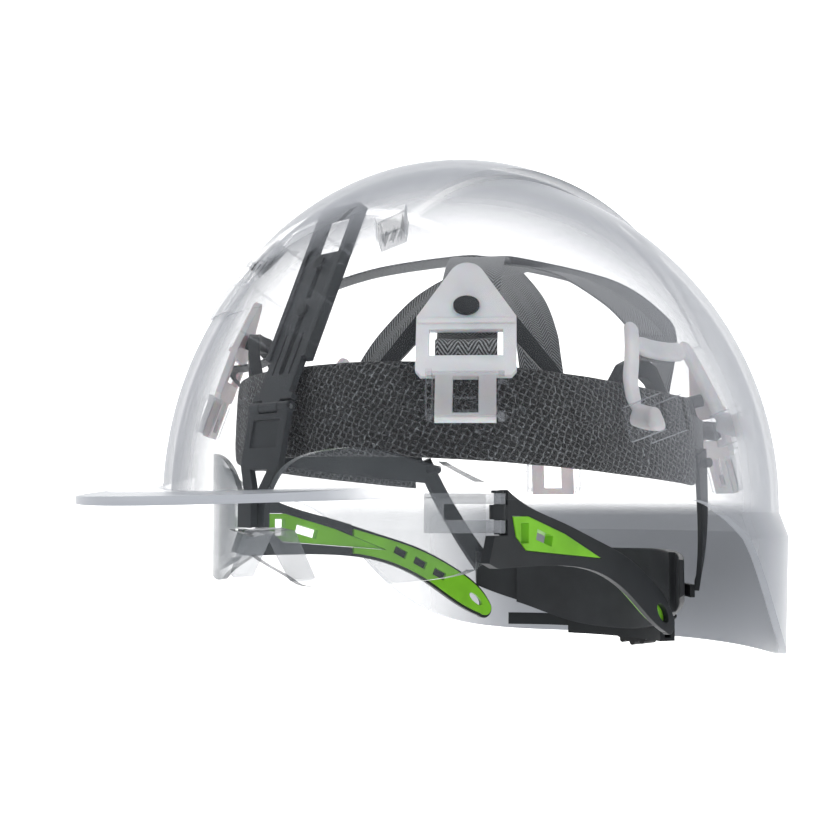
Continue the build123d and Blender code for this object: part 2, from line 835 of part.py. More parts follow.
with BuildPart() as hinge_pin:
    with BuildSketch(Plane.XY.offset(-11.0)):
        with Locations(temple_hinge):
            Circle(1.1)
    extrude(amount=14.0)
    with BuildSketch(Plane.XY.offset(2.1)):
        with Locations(temple_hinge):
            Circle(2.0)
    extrude(amount=0.9)
keep(hinge_pin.part + mirrored(hinge_pin.part), "hinge_pins")

# temple: side view runs back along its own upright plane
inward = math.radians(temple_inward)
temple_plane = Plane(
    origin=(hinge_x, hinge_y, 0),
    x_dir=(-math.sin(inward), math.cos(inward), 0),
    z_dir=(math.cos(inward), math.sin(inward), 0),
)
window_corners = [(6, -5.2), (15, -5.2), (38, -11.4), (63, -20.6), (38, -18.6), (14, -16.6), (8, -12)]
with BuildPart() as temple_core:
    with BuildSketch(temple_plane.offset(-temple_wall / 2)):
        with BuildLine():
            Spline(
                (3.4, 3.2),
                (12, -0.8),
                (37, -7.6),
                (60, -14.0),
                (80, -20.0),
                (99, -28.8),
                (113, -38.2),
                (119, -46),
            )
            ThreePointArc((119, -46), (117.6, -50.6), (112.6, -50.4))
            Spline(
                (112.6, -50.4),
                (100, -44.4),
                (85, -35.2),
                (60, -25.2),
                (40, -22.4),
                (20, -21.7),
                (-2, -21.8),
            )
            Polyline((-2, -21.8), (-7, -20), (-4, -11.4), (3.4, -11.4), (3.4, 3.2))
        make_face()
        Polygon(*window_corners, align=None, mode=Mode.SUBTRACT)
        with Locations((109.5, -42.8)):
            Ellipse(5.4, 2.6, rotation=-38, mode=Mode.SUBTRACT)
    extrude(amount=temple_wall)
    with BuildSketch(temple_plane.offset(-2.5)):
        Polygon((46, -8), (46, -30), (125, -60), (125, -30), (80, -16), align=None)
    extrude(amount=2.0, mode=Mode.SUBTRACT)
    with BuildSketch(Plane.XY.offset(-6.3)):
        with Locations(temple_hinge):
            Circle(2.6)
        Polygon(
            (hinge_x - 1.6, hinge_y),
            (hinge_x + 1.6, hinge_y),
            (hinge_x + 1.2, hinge_y + 4.2),
            (hinge_x - 2.2, hinge_y + 4.2),
            align=None,
        )
        with Locations(temple_hinge):
            Circle(1.15, mode=Mode.SUBTRACT)
    extrude(amount=4.7)
keep(temple_core.part, "temple_left")
keep(mirrored(temple_core.part), "temple_right")

with BuildPart() as temple_inlay:
    with BuildSketch(temple_plane.offset(-temple_wall / 2 + 0.4)):
        Polygon(*window_corners, align=None)
        offset(amount=-0.15, kind=Kind.INTERSECTION)
        with Locations((13, -10.8)):
            Rectangle(4.6, 6.6, mode=Mode.SUBTRACT)
        with Locations((25, -12.6)):
            Rectangle(10, 3.6, rotation=-15, mode=Mode.SUBTRACT)
    extrude(amount=temple_wall - 0.1)
    with BuildSketch(temple_plane.offset(-2.0)):
        with BuildLine():
            Spline((47, -11.8), (60, -15.2), (80, -21.2), (99, -30.0), (112, -38.9), (117.8, -46))
            ThreePointArc((117.8, -46), (116.8, -49.4), (112.8, -49.2))
            Spline((112.8, -49.2), (100, -43.2), (85, -34.0), (60, -24.0), (47, -21.8))
            Line((47, -21.8), (47, -11.8))
        make_face()
        Polygon(*window_corners, align=None, mode=Mode.SUBTRACT)
        with Locations((109.5, -42.8)):
            Ellipse(4.2, 1.5, rotation=-38, mode=Mode.SUBTRACT)
        for x, z in ((70, -21.8), (80, -26.4), (90, -31.4)):
            with Locations((x, z)):
                Rectangle(6.6, 3.2, rotation=-26, mode=Mode.SUBTRACT)
    extrude(amount=1.4)
inlay = temple_inlay.part - temple_core.part
keep(inlay, "temple_inlay_left")
keep(mirrored(inlay), "temple_inlay_right")
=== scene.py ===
# %% [markdown]
# # A forestry safety helmet with spectacles on a slide
# The real object is a ghosted, see-through hard hat. Inside it hang a knitted head band, three crossed
# webbing straps, frosted snap-in hangers, a nape ratchet and clear spectacles on a black slide.
# The engineering model already holds every hard piece at its true size, so this script keeps those
# pieces, gives each a finish, and rebuilds the webbing, the knit and the rounded side forks.

# %% Load the frame
import math

import bmesh
import bpy
from mathutils import Matrix, Vector


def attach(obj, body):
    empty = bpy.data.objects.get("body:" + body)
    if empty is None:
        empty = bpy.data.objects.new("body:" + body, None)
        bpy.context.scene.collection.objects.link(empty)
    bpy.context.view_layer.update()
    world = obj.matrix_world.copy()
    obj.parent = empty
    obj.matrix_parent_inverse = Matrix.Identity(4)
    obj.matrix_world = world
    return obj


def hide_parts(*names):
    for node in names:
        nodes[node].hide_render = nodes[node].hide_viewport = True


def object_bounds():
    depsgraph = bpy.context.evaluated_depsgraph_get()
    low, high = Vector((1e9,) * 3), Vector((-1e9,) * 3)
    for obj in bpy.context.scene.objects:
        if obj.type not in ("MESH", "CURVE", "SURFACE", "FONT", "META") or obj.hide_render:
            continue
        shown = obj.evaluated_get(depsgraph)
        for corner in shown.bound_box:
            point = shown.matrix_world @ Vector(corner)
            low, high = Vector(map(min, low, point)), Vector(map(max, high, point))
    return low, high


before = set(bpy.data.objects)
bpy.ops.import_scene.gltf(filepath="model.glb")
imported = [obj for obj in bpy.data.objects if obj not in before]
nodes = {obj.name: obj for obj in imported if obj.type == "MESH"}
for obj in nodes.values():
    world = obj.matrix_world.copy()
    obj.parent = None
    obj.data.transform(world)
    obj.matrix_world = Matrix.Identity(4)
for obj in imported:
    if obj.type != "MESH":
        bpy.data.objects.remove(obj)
cad_low, cad_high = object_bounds()
print("pieces loaded:", len(nodes))
print("box from", tuple(round(v, 3) for v in cad_low), "to", tuple(round(v, 3) for v in cad_high))

# %% [markdown]
# ## Camera, floor and light
# The helmet is seen from the wearer's front left at eye height, from about half a metre, which is
# close enough for strong perspective. A long sweep of pale paper stands in for the studio: floor and
# wall are one curved sheet, so no horizon line shows behind the clear shell.

# %% Camera
camera_place = Vector((0.35288, -0.35357, -0.00144))
camera_turn = math.radians(46.953)      # to the left of +Y
camera_tilt = math.radians(3.876)       # above level
camera_roll = math.radians(0.127)
lens_mm = 56.24

camera_data = bpy.data.cameras.new("studio_camera")
camera_data.lens = lens_mm
camera_data.sensor_width = 36.0
camera = bpy.data.objects.new("studio_camera", camera_data)
bpy.context.scene.collection.objects.link(camera)
aim = Matrix.Rotation(camera_turn, 4, "Z") @ Matrix.Rotation(math.pi / 2 + camera_tilt, 4, "X")
camera.matrix_world = Matrix.Translation(camera_place) @ aim @ Matrix.Rotation(camera_roll, 4, "Z")
camera_data.clip_start = 0.01
bpy.context.scene.camera = camera
print("camera at", tuple(camera_place), "lens", lens_mm, "mm")


# %% Helpers for materials
def new_material(name):
    """A fresh node material, with its tree, its shader and its output."""
    material = bpy.data.materials.new(name)
    material.use_nodes = True
    tree = material.node_tree
    return material, tree, tree.nodes["Principled BSDF"], tree.nodes["Material Output"]


def add_node(tree, kind, **settings):
    """Adds one shader node and sets its properties and its unlinked inputs."""
    node = tree.nodes.new("ShaderNode" + kind)
    for key, value in settings.items():
        if hasattr(node, key):
            setattr(node, key, value)
        else:
            node.inputs[key.replace("_", " ")].default_value = value
    return node


def ramp(tree, source, stops):
    """A colour ramp after a value: stops are (position, brightness or colour)."""
    node = tree.nodes.new("ShaderNodeValToRGB")
    band = node.color_ramp
    while len(band.elements) < len(stops):
        band.elements.new(0.5)
    for element, (place, tone) in zip(band.elements, stops):
        element.position = place
        element.color = (tone, tone, tone, 1) if isinstance(tone, (int, float)) else (*tone, 1)
    tree.links.new(source, node.inputs[0])
    return node.outputs[0]


def coordinates(tree, kind="Object", scale=(1, 1, 1), turn=(0, 0, 0)):
    """Texture coordinates in metres, scaled and turned."""
    source = tree.nodes.new("ShaderNodeTexCoord")
    mapping = tree.nodes.new("ShaderNodeMapping")
    mapping.inputs["Scale"].default_value = scale
    mapping.inputs["Rotation"].default_value = turn
    tree.links.new(source.outputs[kind], mapping.inputs[0])
    return mapping.outputs[0]


def bump(tree, height, strength, distance, normal=None):
    """A bump node that turns a height into a surface normal."""
    node = tree.nodes.new("ShaderNodeBump")
    node.inputs["Strength"].default_value = strength
    node.inputs["Distance"].default_value = distance
    tree.links.new(height, node.inputs["Height"])
    if normal is not None:
        tree.links.new(normal, node.inputs["Normal"])
    return node.outputs[0]


def calculate(tree, operation, a, b=None, clamp=False):
    """A maths node. a and b are sockets or numbers."""
    node = tree.nodes.new("ShaderNodeMath")
    node.operation = operation
    node.use_clamp = clamp
    for index, value in enumerate((a, b)):
        if isinstance(value, (int, float)):
            node.inputs[index].default_value = value
        elif value is not None:
            tree.links.new(value, node.inputs[index])
    return node.outputs[0]


def product(tree, *factors):
    """Multiplies sockets and numbers together."""
    total = factors[0]
    for factor in factors[1:]:
        total = calculate(tree, "MULTIPLY", total, factor)
    return total


def noise(tree, scale, detail, place, **more):
    """The value of a noise texture at these coordinates."""
    node = add_node(tree, "TexNoise", Scale=scale, Detail=detail, **more)
    tree.links.new(place, node.inputs["Vector"])
    return node.outputs["Fac"]


def see_through(tree, amount, shader, output):
    """Mixes a transparent shader with this one. amount 1 is solid, and is a socket or a number."""
    clearness = tree.nodes.new("ShaderNodeBsdfTransparent")
    mix = tree.nodes.new("ShaderNodeMixShader")
    if isinstance(amount, (int, float)):
        mix.inputs[0].default_value = amount
    else:
        tree.links.new(amount, mix.inputs[0])
    tree.links.new(clearness.outputs[0], mix.inputs[1])
    tree.links.new(shader.outputs[0], mix.inputs[2])
    tree.links.new(mix.outputs[0], output.inputs["Surface"])


def paint(node_names, material):
    """Gives CAD pieces this material."""
    for name in node_names:
        piece = nodes[name]
        piece.data.materials.clear()
        piece.data.materials.append(material)


# %% Floor, paper sweep and lights
floor_height = cad_low.z - 0.13
sweep_front, sweep_back, sweep_top, sweep_bend, sweep_half_width = -2.6, 1.9, 3.2, 0.9, 3.2


def studio_sweep():
    """One sheet of paper: flat floor, a wide bend, then an upright wall, turned to face the camera."""
    profile = [(sweep_front, 0.0), (sweep_back - sweep_bend, 0.0)]
    for step in range(1, 13):
        angle = math.pi / 2 * step / 12
        back = sweep_back - sweep_bend * (1 - math.sin(angle))
        profile.append((back, sweep_bend * (1 - math.cos(angle))))
    profile.append((sweep_back, sweep_top))
    mesh = bpy.data.meshes.new("paper_sweep")
    points = [(side * sweep_half_width, y, z) for side in (-1, 1) for y, z in profile]
    count = len(profile)
    mesh.from_pydata(points, [], [(i, i + count, i + count + 1, i + 1) for i in range(count - 1)])
    for face in mesh.polygons:
        face.use_smooth = True
    sheet = bpy.data.objects.new("paper_sweep", mesh)
    bpy.context.scene.collection.objects.link(sheet)
    turn = Matrix.Rotation(math.radians(45), 4, "Z")
    sheet.matrix_world = Matrix.Translation((0, 0, floor_height)) @ turn
    return sheet


paper = studio_sweep()
paper_finish, tree, shader, _ = new_material("white_paper")
grain = noise(tree, 90.0, 4.0, coordinates(tree))
tree.links.new(ramp(tree, grain, [(0.3, 0.93), (0.7, 0.96)]), shader.inputs["Base Color"])
shader.inputs["Roughness"].default_value = 0.9
shader.inputs["Emission Color"].default_value = (1, 1, 1, 1)
shader.inputs["Emission Strength"].default_value = 0.36
paper.data.materials.append(paper_finish)


def area_light(name, place, target, size, power):
    """A square soft light at place that points to target."""
    data = bpy.data.lights.new(name, "AREA")
    data.shape = "SQUARE"
    data.size = size
    data.energy = power
    lamp = bpy.data.objects.new(name, data)
    bpy.context.scene.collection.objects.link(lamp)
    lamp.location = place
    lamp.rotation_euler = (Vector(target) - Vector(place)).to_track_quat("-Z", "Y").to_euler()
    return lamp


area_light("key_from_left", (1.3, -0.2, 1.1), (0, 0, 0.03), 0.9, 3.6)
area_light("fill_from_front", (0.1, -1.6, 0.5), (0, 0, 0.03), 1.2, 2.4)
area_light("top_panel", (-0.1, 0.1, 1.6), (0, 0, 0.05), 1.4, 4.0)
area_light("back_wash_low", (-0.6, 0.6, 0.9), (-1.2, 1.3, 0.2), 1.2, 14)

world = bpy.data.worlds.new("studio_air")
bpy.context.scene.world = world
world.use_nodes = True
world.node_tree.nodes["Background"].inputs[0].default_value = (0.97, 0.98, 1.0, 1)
world.node_tree.nodes["Background"].inputs[1].default_value = 0.62
bpy.context.scene.view_settings.view_transform = "Standard"

# %% [markdown]
# ## The ghosted shell
# The shell is one moulding. To show the inside it is drawn almost clear where it is seen face on, and
# it closes up to a pale cool grey where the wall is seen edge on. A mix of a transparent and a glossy
# shader, led by the facing of the wall, gives that. The neck guard, the peak's tip and the crown are
# deeper. The brow in front of the slide and the sides of the peak are clearer, so that the slide and the
# spectacles read. These regions are told apart by each point's place on the helmet itself.

# %% Shell material
guard_top = 0.0                                 # the skirt below this height is the neck guard
dome_half_width, dome_front = 0.1085, 0.114     # outside this outline, seen from above, is the peak


def faded(tree, value, start, stop, first, last):
    """A smooth change from first at start to last at stop."""
    node = add_node(tree, "MapRange", interpolation_type="SMOOTHSTEP")
    for socket, number in (("From Min", start), ("From Max", stop), ("To Min", first), ("To Max", last)):
        node.inputs[socket].default_value = number
    tree.links.new(value, node.inputs["Value"])
    return node.outputs[0]


def shell_regions(tree, guard, peak):
    """Shares, 0 to 1, of the guard, the peak's tip and sides, the crown and the brow window."""
    place = tree.nodes.new("ShaderNodeTexCoord")
    split = tree.nodes.new("ShaderNodeSeparateXYZ")
    tree.links.new(place.outputs["Object"], split.inputs[0])
    across, ahead, up = split.outputs["X"], split.outputs["Y"], split.outputs["Z"]
    rim = faded(tree, up, guard_top + 0.004, guard_top - 0.008, 0.0, guard)
    deeper_behind = faded(tree, ahead, 0.060, 0.125, 0.36, 1.0)
    skirt = product(tree, rim, deeper_behind, faded(tree, ahead, -0.02, 0.03, 0.0, 1.0))
    squares = []
    for way, size in ((across, dome_half_width), (ahead, dome_front)):
        share = calculate(tree, "DIVIDE", calculate(tree, "ABSOLUTE", way), size)
        squares.append(calculate(tree, "POWER", share, 2.0))
    outside = faded(tree, calculate(tree, "ADD", *squares), 1.02, 1.07, 0.0, peak)
    brim = product(tree, outside, faded(tree, up, 0.022, 0.012, 0.0, 1.0))
    in_front = faded(tree, ahead, -0.100, -0.124, 0.0, 1.0)
    tongue = product(tree, brim, in_front)
    sideways = faded(tree, ahead, -0.010, -0.030, 0.0, 0.9)
    wings = product(tree, brim, sideways, calculate(tree, "SUBTRACT", 1.0, in_front))
    crown = faded(tree, up, 0.090, 0.112, 0.0, 0.22)
    brow = faded(tree, ahead, -0.060, -0.085, 0.0, 1.0)
    below_crown = faded(tree, up, 0.100, 0.075, 0.0, 1.0)
    window = product(tree, brow, below_crown, faded(tree, across, -0.030, 0.000, 0.0, 1.0), 0.75)
    return skirt, tongue, wings, crown, window


def ghost_plastic(name, tint, clear, guard, peak, edge_strength):
    """Nearly clear plastic that closes up at its edges, deeper in the peak and in the neck guard."""
    material, tree, shader, output = new_material(name)
    skirt, tongue, wings, crown, window = shell_regions(tree, guard, peak)
    facing = add_node(tree, "LayerWeight", Blend=0.5).outputs["Facing"]
    edge = product(tree, calculate(tree, "POWER", facing, 2.0), edge_strength)
    edge = product(tree, edge, calculate(tree, "SUBTRACT", 1.0, wings, clamp=True))
    edge = calculate(tree, "ADD", edge, product(tree, crown, facing))
    edge = product(tree, edge, calculate(tree, "SUBTRACT", 1.0, window))
    body = calculate(tree, "ADD", calculate(tree, "MAXIMUM", skirt, tongue), clear)
    cloud = noise(tree, 14.0, 2.0, coordinates(tree))
    darker = tuple(v * 0.96 for v in tint)
    tree.links.new(ramp(tree, cloud, [(0.3, darker), (0.7, tint)]), shader.inputs["Base Color"])
    ripple = noise(tree, 60.0, 2.0, coordinates(tree))
    tree.links.new(bump(tree, ripple, 0.05, 0.0006), shader.inputs["Normal"])
    tree.links.new(ramp(tree, cloud, [(0.3, 0.30), (0.7, 0.38)]), shader.inputs["Roughness"])
    shader.inputs["Specular IOR Level"].default_value = 0.18
    see_through(tree, calculate(tree, "MAXIMUM", edge, body, clamp=True), shader, output)
    return material


def faces_where(node_name, material, chosen):
    """Gives the faces of a CAD piece that pass a test on centre and normal a second finish."""
    mesh = nodes[node_name].data
    mesh.materials.append(material)
    slot_number = len(mesh.materials) - 1
    picked = 0
    for face in mesh.polygons:
        if chosen(face.center, face.normal):
            face.material_index = slot_number
            picked += 1
    print(node_name, "second finish on", picked, "faces")


shell_finish = ghost_plastic("ghosted_shell_white", (0.47, 0.49, 0.53), 0.012, 0.90, 0.97, 0.92)
paint(["shell"], shell_finish)
# The rim faces that look down behind the ears get a darker, more opaque copy of the shell finish:
# painted shade on the underside of the rim.
rim_underside_painted_shade = ghost_plastic("ghosted_shell_rim_painted_shade", (0.40, 0.42, 0.46), 0.30, 0.5, 0.6, 0.9)


def is_guard_rim(centre, normal):
    """True on the faces that look down along the rim behind the ears, which get the painted shade."""
    return normal.z < -0.6 and centre.z < 0.002 and centre.y > 0


faces_where("shell", rim_underside_painted_shade, is_guard_rim)
vent_finish = ghost_plastic("ghosted_vent_grey", (0.30, 0.31, 0.33), 0.30, 0.5, 0.5, 0.8)
paint(["vent_grille_left", "vent_grille_right"], vent_finish)

# %% [markdown]
# ## Moulded plastics
# The slide, the struts and the nape pieces are satin black plastic with the fine spark texture of a
# steel mould. The look comes from a dark base, a fine noise bump and a roughness that wanders a little.
# The shader's rounded-edge normal stands in for the small radius that every moulded edge has.

# %% Black plastics


def moulded_plastic(name, colour, rough, spark=0.00006, edge=0.0004, grain=2600.0):
    """Satin moulded plastic with a fine spark texture, soft edges and a slightly uneven shine."""
    material, tree, shader, _ = new_material(name)
    place = coordinates(tree)
    fine, wide = noise(tree, grain, 3.0, place), noise(tree, 55.0, 3.0, place)
    soft = add_node(tree, "Bevel", samples=4)
    soft.inputs["Radius"].default_value = edge
    tree.links.new(bump(tree, fine, 0.35, spark, soft.outputs[0]), shader.inputs["Normal"])
    lighter = tuple(min(1.0, v * 1.35 + 0.002) for v in colour)
    tree.links.new(ramp(tree, wide, [(0.35, colour), (0.7, lighter)]), shader.inputs["Base Color"])
    shader.inputs["Specular IOR Level"].default_value = 0.22
    shine = ramp(tree, wide, [(0.3, rough - 0.05), (0.75, rough + 0.07)])
    tree.links.new(shine, shader.inputs["Roughness"])
    return material


black_finish = moulded_plastic("satin_black_plastic", (0.018, 0.020, 0.022), 0.38)
strut_finish = moulded_plastic("strut_black_plastic", (0.012, 0.014, 0.016), 0.46)
pad_finish = moulded_plastic("nape_pad_black", (0.022, 0.024, 0.027), 0.42, 0.00012, 0.0012, 1400.0)
knob_finish = moulded_plastic("knob_black", (0.010, 0.011, 0.012), 0.34)
gear_finish = moulded_plastic("gear_grey_nylon", (0.28, 0.28, 0.29), 0.45)
green_finish = moulded_plastic("lime_soft_plastic", (0.175, 0.47, 0.022), 0.36, 0.00005, 0.0005)
charcoal_finish = moulded_plastic("charcoal_slide", (0.036, 0.040, 0.044), 0.42)
paint(["guide_rail", "slider_arm", "lens_holder"], charcoal_finish)
paint(["guide_pins", "hinge_pins"], black_finish)
paint(["temple_left", "temple_right"], black_finish)
paint(["headband_carrier", "lug_pins", "nape_arm_left", "nape_arm_right", "height_studs"], strut_finish)
paint(["ratchet_plate", "ratchet_housing", "toothed_strap_left", "toothed_strap_right"], strut_finish)
paint(["nape_pad"], pad_finish)
paint(["adjuster_knob"], knob_finish)
paint(["pinion"], gear_finish)
paint(["temple_inlay_left", "temple_inlay_right"], green_finish)


# %% Steel pin
def brushed_steel(name):
    """Fine turned steel: rings of noise stretched along the pin."""
    material, tree, shader, _ = new_material(name)
    streak = noise(tree, 900.0, 2.0, coordinates(tree, scale=(0.05, 1, 1)))
    tree.links.new(ramp(tree, streak, [(0.3, 0.42), (0.7, 0.62)]), shader.inputs["Base Color"])
    tree.links.new(ramp(tree, streak, [(0.3, 0.24), (0.7, 0.38)]), shader.inputs["Roughness"])
    tree.links.new(bump(tree, streak, 0.2, 0.00004), shader.inputs["Normal"])
    shader.inputs["Metallic"].default_value = 1.0
    return material


paint(["fold_pin"], brushed_steel("turned_steel"))

# %% [markdown]
# ## Frosted hangers and forks
# These clips are natural nylon: milky, a little see-through, with a soft shine. Light that goes in
# comes out again nearby, so the shader uses a short subsurface distance and some plain transparency.


# %% Frosted plastic
def frosted_plastic(name, solid):
    """Milky nylon that lets a little of what is behind show."""
    material, tree, shader, output = new_material(name)
    place = coordinates(tree)
    cloud, fine = noise(tree, 70.0, 4.0, place), noise(tree, 1500.0, 2.0, place)
    tone = ramp(tree, cloud, [(0.3, (0.72, 0.74, 0.77)), (0.7, (0.88, 0.89, 0.91))])
    tree.links.new(tone, shader.inputs["Base Color"])
    shader.inputs["Roughness"].default_value = 0.34
    shader.inputs["Subsurface Weight"].default_value = 0.6
    shader.inputs["Subsurface Scale"].default_value = 0.004
    soft = add_node(tree, "Bevel", samples=4)
    soft.inputs["Radius"].default_value = 0.0006
    tree.links.new(bump(tree, fine, 0.2, 0.00005, soft.outputs[0]), shader.inputs["Normal"])
    see_through(tree, solid, shader, output)
    return material


hanger_finish = frosted_plastic("frosted_nylon", 0.86)
for kind in ("front_hanger", "rear_hanger", "side_fork"):
    paint([kind + "_left", kind + "_right"], hanger_finish)

# %% [markdown]
# ## Clear spectacle lens
# The lens is polished polycarbonate, a thin wall, so light passes almost straight through. Plain
# transparency with a Fresnel-led gloss is both faster and cleaner than true refraction at this size,
# and a slight grey body keeps its edges readable.


# %% Clear plastic
def clear_plastic(name, body, tint, edge_strength, gloss=0.04, shine_level=0.5):
    """Thin clear plastic: see-through, with a Fresnel gloss, and darker where it is seen edge on."""
    material, tree, shader, output = new_material(name)
    shader.inputs["Base Color"].default_value = (*tint, 1)
    shader.inputs["IOR"].default_value = 1.58
    shader.inputs["Specular IOR Level"].default_value = shine_level
    facing = add_node(tree, "LayerWeight", Blend=0.5)
    edge = calculate(tree, "POWER", facing.outputs["Facing"], 1.8)
    smear = noise(tree, 30.0, 3.0, coordinates(tree))
    haze = product(tree, calculate(tree, "ADD", smear, 0.5), body)
    shine = ramp(tree, smear, [(0.3, gloss), (0.7, gloss + 0.05)])
    tree.links.new(shine, shader.inputs["Roughness"])
    amount = calculate(tree, "MAXIMUM", product(tree, edge, edge_strength), haze, clamp=True)
    see_through(tree, amount, shader, output)
    return material


lens_finish = clear_plastic("clear_lens", 0.12, (0.22, 0.24, 0.26), 1.0, 0.04, 0.30)
lug_finish = clear_plastic("clear_hinge_lug", 0.40, (0.42, 0.44, 0.47), 0.85, 0.08)
paint(["lens"], lens_finish)
lens_axis = Vector((0, -0.0255, 0))
edge_finish = clear_plastic("polished_lens_edge", 0.80, (0.09, 0.10, 0.11), 0.95, 0.12, 0.15)


def is_lens_edge(centre, normal):
    """True on the cut edges of the lens, whose normals don't point to or from its axis."""
    radial = Vector((centre.x - lens_axis.x, centre.y - lens_axis.y, 0)).normalized()
    return abs(normal.dot(radial)) < 0.7


faces_where("lens", edge_finish, is_lens_edge)
paint(["nose_bridge", "hinge_lug_left", "hinge_lug_right"], lug_finish)

# %% [markdown]
# ## Webbing and knit
# Cloth is drawn from its own threads. The webbing is a herringbone: slanted ridges that change
# direction in narrow columns, with painted highlights on the ridges and painted shade in the grooves.
# The band cover is an open knit of black yarn flecked with pale grey.
# Both patterns follow the length and the width of the piece, so they are laid on unwrapped coordinates.

# %% Knit material


def knit_cloth(name):
    """Open black knit with pale flecks, in metres along and across the band."""
    material, tree, shader, _ = new_material(name)
    cells = add_node(tree, "TexVoronoi", feature="DISTANCE_TO_EDGE", Scale=430.0, Randomness=0.40)
    leaning = coordinates(tree, "UV", (1.0, 1.25, 1), (0, 0, math.radians(24)))
    tree.links.new(leaning, cells.inputs["Vector"])
    crossing = coordinates(tree, "UV", (1, 0.45, 1), (0, 0, math.radians(-20)))
    fleck = noise(tree, 1100.0, 3.0, crossing, Roughness=0.7)
    wide = noise(tree, 60.0, 2.0, coordinates(tree, "UV"))
    rib = ramp(tree, cells.outputs["Distance"], [(0.03, 1.0), (0.20, 0.0)])
    pale = ramp(tree, fleck, [(0.48, 0.12), (0.64, 1.0)])
    rise = product(tree, pale, rib, calculate(tree, "ADD", wide, 0.3))
    tones = [(0.0, (0.005, 0.006, 0.007)), (0.2, (0.05, 0.055, 0.06)), (1.0, (0.36, 0.38, 0.40))]
    colour = ramp(tree, rise, tones)
    tree.links.new(colour, shader.inputs["Base Color"])
    shader.inputs["Roughness"].default_value = 0.85
    shader.inputs["Sheen Weight"].default_value = 0.2
    shader.inputs["Sheen Roughness"].default_value = 0.5
    tree.links.new(bump(tree, rib, 0.9, 0.0009), shader.inputs["Normal"])
    return material


knit_finish = knit_cloth("flecked_black_knit")


# %% Webbing material
rib_width, column_width = 0.0009, 0.0033


def herringbone(name, dark, pale):
    """Herringbone webbing: slanted ribs that turn about in columns along the strap, with painted
    highlights on the rib crests and painted shade in the grooves.
    """
    material, tree, shader, _ = new_material(name)
    source = tree.nodes.new("ShaderNodeTexCoord")
    split = tree.nodes.new("ShaderNodeSeparateXYZ")
    tree.links.new(source.outputs["UV"], split.inputs[0])
    column = calculate(tree, "PINGPONG", split.outputs["Y"], column_width)
    slope = calculate(tree, "ADD", product(tree, column, 1.5), split.outputs["X"])
    rib = product(tree, calculate(tree, "PINGPONG", slope, rib_width), 1 / rib_width)
    yarn = noise(tree, 1500.0, 2.0, source.outputs["UV"])
    # The colour follows the rib height: crests painted pale as painted highlights, grooves dark as
    # painted shade.
    rib_painted_light = product(tree, rib, calculate(tree, "ADD", yarn, 0.35))
    colour = ramp(tree, rib_painted_light, [(0.25, dark), (0.95, pale)])
    tree.links.new(colour, shader.inputs["Base Color"])
    shader.inputs["Roughness"].default_value = 0.62
    shader.inputs["Sheen Weight"].default_value = 0.3
    tree.links.new(bump(tree, rib, 0.7, 0.0004), shader.inputs["Normal"])
    return material


# The pale tone is the painted highlight on the rib crests. The dark tone is the webbing's own black.
webbing_finish = herringbone("herringbone_webbing_painted_light", (0.012, 0.013, 0.014), (0.42, 0.44, 0.46))

# %% [markdown]
# ## The head band's knitted cover
# A knitted sleeve is pulled over the black plastic carrier and stands a few millimetres proud, with
# round edges. It is swept round a rounded-square head outline: one cross-section with a soft crown,
# set at every step of the outline, with unwrapped coordinates that run in metres.

# %% Cover mesh
band_half_width, band_front, band_rear = 0.079, 0.0818, 0.102
band_middle = Vector((0, 0.010, 0.0236))
band_slope = math.radians(4.0)
band_height = 0.030
cover_depth = 0.0034
squareness = 2.5


def band_point(angle, inset, height):
    """A point on the band, from its angle round the head (0 is the wearer's left), inset and height."""
    c, s = math.cos(angle), math.sin(angle)
    reach = band_rear - band_middle.y if s > 0 else band_front + band_middle.y
    x = (band_half_width - inset) * math.copysign(abs(c) ** (2 / squareness), c)
    y = (reach - inset) * math.copysign(abs(s) ** (2 / squareness), s)
    out_y = y * math.cos(band_slope) + height * math.sin(band_slope)
    out_z = -y * math.sin(band_slope) + height * math.cos(band_slope)
    return band_middle + Vector((x, out_y, out_z))


def rounded_section(half, depth, steps):
    """A closed cross-section of a soft band with round ends: (inset, height) pairs."""
    pairs = []
    for step in range(steps):
        angle = 2 * math.pi * step / steps
        c, s = math.cos(angle), math.sin(angle)
        height = half * math.copysign(abs(s) ** 0.42, s)
        across = depth / 2 * math.copysign(abs(c) ** 0.62, c)
        pairs.append((depth / 2 - across, height))
    return pairs


def link_mesh(name, points, faces, uvs=None):
    """Makes an object from points and faces, smooth, with one UV pair for each point of each face."""
    mesh = bpy.data.meshes.new(name)
    mesh.from_pydata(points, [], faces)
    for face in mesh.polygons:
        face.use_smooth = True
    if uvs is not None:
        layer = mesh.uv_layers.new(name="threads")
        flat = [pair for face in uvs for pair in face]
        for corner, pair in zip(layer.data, flat):
            corner.uv = pair
    piece = bpy.data.objects.new(name, mesh)
    bpy.context.scene.collection.objects.link(piece)
    return piece


def sweep(name, rings, along, around, closed_ends=True):
    """A skin over rings of points, with UVs in metres: along the length and around the section."""
    count = len(rings[0])
    points = [p for ring in rings for p in ring]
    faces, uvs = [], []
    for i in range(len(rings) - 1):
        for k in range(count):
            n = (k + 1) % count
            faces.append((i * count + k, i * count + n, (i + 1) * count + n, (i + 1) * count + k))
            v0, v1 = around[k], around[k + 1]
            uvs.append([(along[i], v0), (along[i], v1), (along[i + 1], v1), (along[i + 1], v0)])
    if closed_ends:
        for row, order in ((0, -1), (len(rings) - 1, 1)):
            loop = [row * count + k for k in range(count)][::order]
            faces.append(tuple(loop))
            uvs.append([(along[row], around[k % count]) for k in range(count)][::order])
    return link_mesh(name, points, faces, uvs)


cover_end_y = 0.0375           # where the cover stops at its middle height, behind the ears
cover_lean = 25 / 72           # the end is cut on a slant, as the CAD cover is
section = rounded_section(band_height / 2 + 0.0006, cover_depth + 0.0012, 36)


